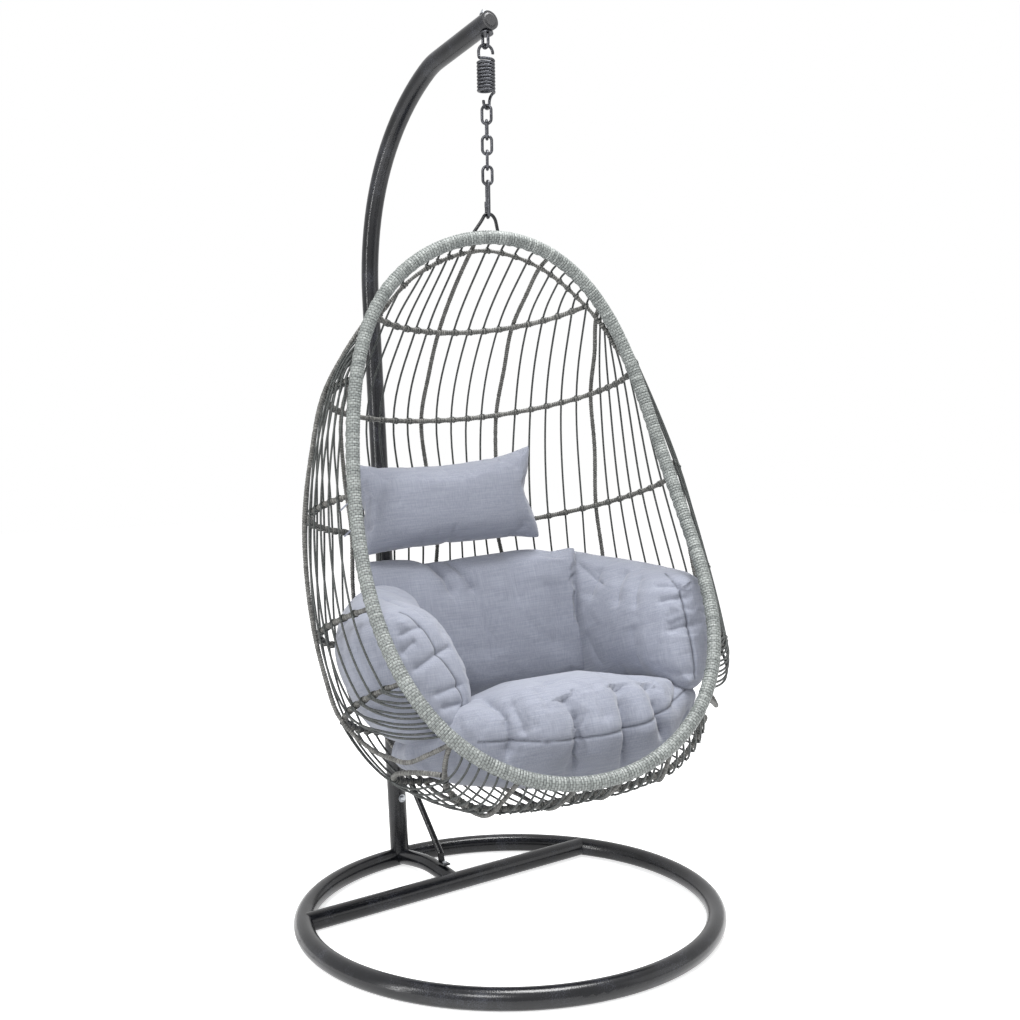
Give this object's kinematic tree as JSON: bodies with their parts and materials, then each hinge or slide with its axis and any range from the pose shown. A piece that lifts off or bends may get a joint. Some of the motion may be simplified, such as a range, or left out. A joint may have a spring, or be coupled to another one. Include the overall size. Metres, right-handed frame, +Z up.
{
  "type": "hanging egg chair",
  "caption": "Egg-shaped wicker basket seat with cushions, hung by a spring, chain and snap hook from a curved pole on a round floor ring.",
  "frame": {"origin": "on the floor, plumb below the hanging eye, near the middle of the part's footprint", "axes": "+Z up; -Y is the open side of the basket and the front of the floor ring; the pole stands at +Y"},
  "size_m": [0.9734, 1.0346, 1.9966],
  "materials": {
    "stand_coat": "speckled powder coat, semi-gloss",
    "dark_steel": "darkened, satin",
    "zinc": "zinc plated, satin",
    "core_steel": "painted, hidden",
    "black_plastic": "moulded, matte",
    "wicker": "flat woven strip, grey, satin",
    "cord": "round cord, near black",
    "cushion_cloth": "woven polyester, light blue-grey"
  },
  "bodies": {
    "stand": {"base_ring": "stand_coat", "crossbar": "stand_coat", "spur": "stand_coat", "post_socket": "stand_coat", "pole": "stand_coat", "pole_end_cap": "black_plastic", "post_bolt": "zinc", "post_washer": "zinc", "post_nut": "zinc", "brace_rod": "stand_coat", "brace_bolts": "zinc", "hanger_eye": "dark_steel", "hanger_washer": "zinc", "hanger_nut": "zinc"},
    "spring": {"tension_spring": "dark_steel"},
    "link_1": {"chain_link_1": "dark_steel"},
    "link_2": {"chain_link_2": "dark_steel"},
    "link_3": {"chain_link_3": "dark_steel"},
    "link_4": {"chain_link_4": "dark_steel"},
    "link_5": {"chain_link_5": "dark_steel"},
    "snap_hook": {"snap_hook_body": "dark_steel", "gate_pin": "zinc"},
    "gate": {"snap_hook_gate": "dark_steel"},
    "sleeve": {"gate_sleeve": "dark_steel"},
    "basket": {"hanging_loop": "stand_coat", "rim_core": "core_steel", "rim_wrap": "wicker", "crown_loop": "wicker", "bottom_hoop": "wicker", "hoop_1": "wicker", "hoop_2": "wicker", "hoop_3": "wicker", "hoop_4": "wicker", "hoop_5": "wicker", "hoop_6": "wicker", "rib_side_left": "wicker", "rib_left": "wicker", "rib_back_left": "wicker", "rib_back_right": "wicker", "rib_right": "wicker", "rib_side_right": "wicker", "strands_bottom": "cord", "strands_bowl": "cord", "strands_crown": "cord", "strands_front": "cord", "strands_lower": "cord", "strands_middle": "cord", "strands_seat": "cord", "strands_sides": "cord", "strands_upper": "cord", "head_pillow": "cushion_cloth", "back_cushion": "cushion_cloth", "arm_bolster_left": "cushion_cloth", "arm_bolster_right": "cushion_cloth", "seat_cushion": "cushion_cloth", "pillow_ties": "cushion_cloth"}
  },
  "joints": [
    {"name": "swing_fore_aft", "type": "hinge", "parent": "stand", "child": "spring", "pos_m": [0, 0, 1.9217], "axis": [-1, 0, 0], "range_deg": [-3.5, 12]},
    {"name": "spring_stretch", "type": "slide", "parent": "spring", "child": "link_1", "axis": [0, 0, -1], "range_m": [0, 0.03], "stiffness_N_per_m": 30000, "springref_m": -0.01133, "deforming": ["tension_spring"]},
    {"name": "swing_sideways", "type": "hinge", "parent": "link_1", "child": "link_2", "pos_m": [0, 0, 1.75335], "axis": [0.6691, 0.7431, 0], "range_deg": [-6.5, 6.5]},
    {"name": "link_3_twist", "type": "hinge", "parent": "link_2", "child": "link_3", "pos_m": [0, 0, 1.71], "axis": [0, 0, 1], "range_deg": [-9, 9]},
    {"name": "link_4_twist", "type": "hinge", "parent": "link_3", "child": "link_4", "pos_m": [0, 0, 1.68], "axis": [0, 0, 1], "range_deg": [-9, 9]},
    {"name": "link_5_twist", "type": "hinge", "parent": "link_4", "child": "link_5", "pos_m": [0, 0, 1.65], "axis": [0, 0, 1], "range_deg": [-9, 9]},
    {"name": "basket_turn", "type": "hinge", "parent": "link_2", "child": "snap_hook", "pos_m": [0, 0, 1.62], "axis": [0, 0, 1], "range_deg": [-36, 36], "stiffness_Nm_per_rad": 0.15},
    {"name": "basket_tilt", "type": "hinge", "parent": "snap_hook", "child": "basket", "pos_m": [0, 0, 1.5555], "axis": [-0.9549, 0.2876, -0.0733], "range_deg": [-2.5, 6]},
    {"name": "gate_open", "type": "hinge", "parent": "snap_hook", "child": "gate", "pos_m": [0.00444, 0.00952, 1.56695], "axis": [0.9063, -0.4226, 0], "range_deg": [0, 20], "stiffness_Nm_per_rad": 0.05},
    {"name": "sleeve_slide", "type": "slide", "parent": "gate", "child": "sleeve", "axis": [0, 0, 1], "range_m": [0, 0.0115]}
  ],
  "couplings": [
    {"joint": "link_3_twist", "follows": "basket_turn", "ratio": 0.25},
    {"joint": "link_4_twist", "follows": "basket_turn", "ratio": 0.25},
    {"joint": "link_5_twist", "follows": "basket_turn", "ratio": 0.25}
  ]
}
